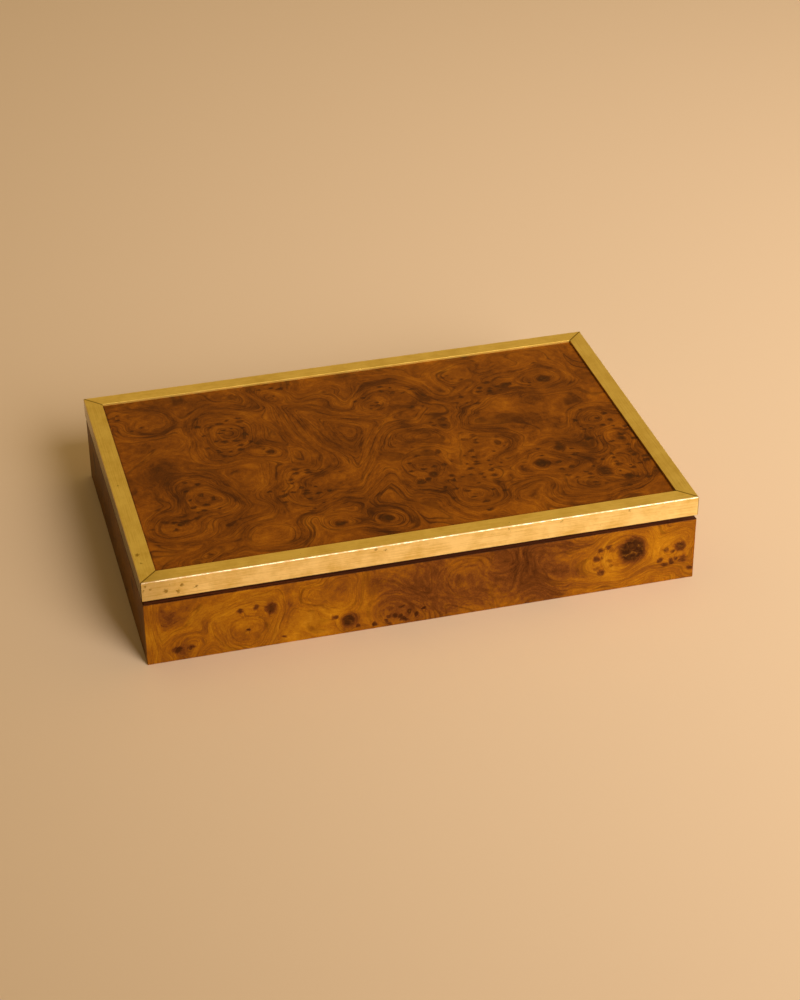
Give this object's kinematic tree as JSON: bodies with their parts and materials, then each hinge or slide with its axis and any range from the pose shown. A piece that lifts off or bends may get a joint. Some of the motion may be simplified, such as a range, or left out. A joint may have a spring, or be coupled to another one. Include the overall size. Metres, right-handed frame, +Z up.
{
  "type": "veneered wooden box",
  "caption": "Flat rectangular keepsake box in burl veneer: a lined tray with a hinged lid that is edged by a mitred brass angle frame.",
  "frame": {"origin": "centre of the footprint, on the face the box rests on", "axes": "+X along the length, -Y towards the front, +Z up through the lid"},
  "size_m": [0.24, 0.156, 0.041],
  "materials": {
    "lid_burl": "satin lacquered burl veneer",
    "wall_burl": "satin lacquered burl veneer",
    "wall_core": "dark stained edge",
    "base_plywood": "bare plywood",
    "lid_core": "bare board",
    "lid_backing": "satin straight-grained veneer",
    "lining": "satin lacquered strip",
    "frame_brass": "aged satin",
    "hinge_brass": "drawn satin",
    "floor_felt": "wool felt",
    "base_felt": "wool felt"
  },
  "bodies": {
    "base": {"front_wall": "wall_core", "rear_wall": "wall_core", "left_wall": "wall_core", "right_wall": "wall_core", "front_wall_veneer": "wall_burl", "rear_wall_veneer": "wall_burl", "left_wall_veneer": "wall_burl", "right_wall_veneer": "wall_burl", "base_board": "base_plywood", "base_felt": "base_felt", "front_lining": "lining", "rear_lining": "lining", "left_lining": "lining", "right_lining": "lining", "floor_felt": "floor_felt", "left_hinge_base_leaf": "hinge_brass", "right_hinge_base_leaf": "hinge_brass", "left_hinge_pin": "hinge_brass", "right_hinge_pin": "hinge_brass", "base_hinge_screws": "hinge_brass"},
    "lid": {"lid_board": "lid_core", "lid_burl_panel": "lid_burl", "lid_backing_veneer": "lid_backing", "front_brass_edge": "frame_brass", "rear_brass_edge": "frame_brass", "left_brass_edge": "frame_brass", "right_brass_edge": "frame_brass", "left_hinge_lid_leaf": "hinge_brass", "right_hinge_lid_leaf": "hinge_brass", "lid_hinge_screws": "hinge_brass"}
  },
  "joints": [
    {"name": "lid_hinge", "type": "hinge", "parent": "base", "child": "lid", "pos_m": [0, 0.07684, 0.03095], "axis": [-1, 0, 0], "range_deg": [0, 100]}
  ]
}
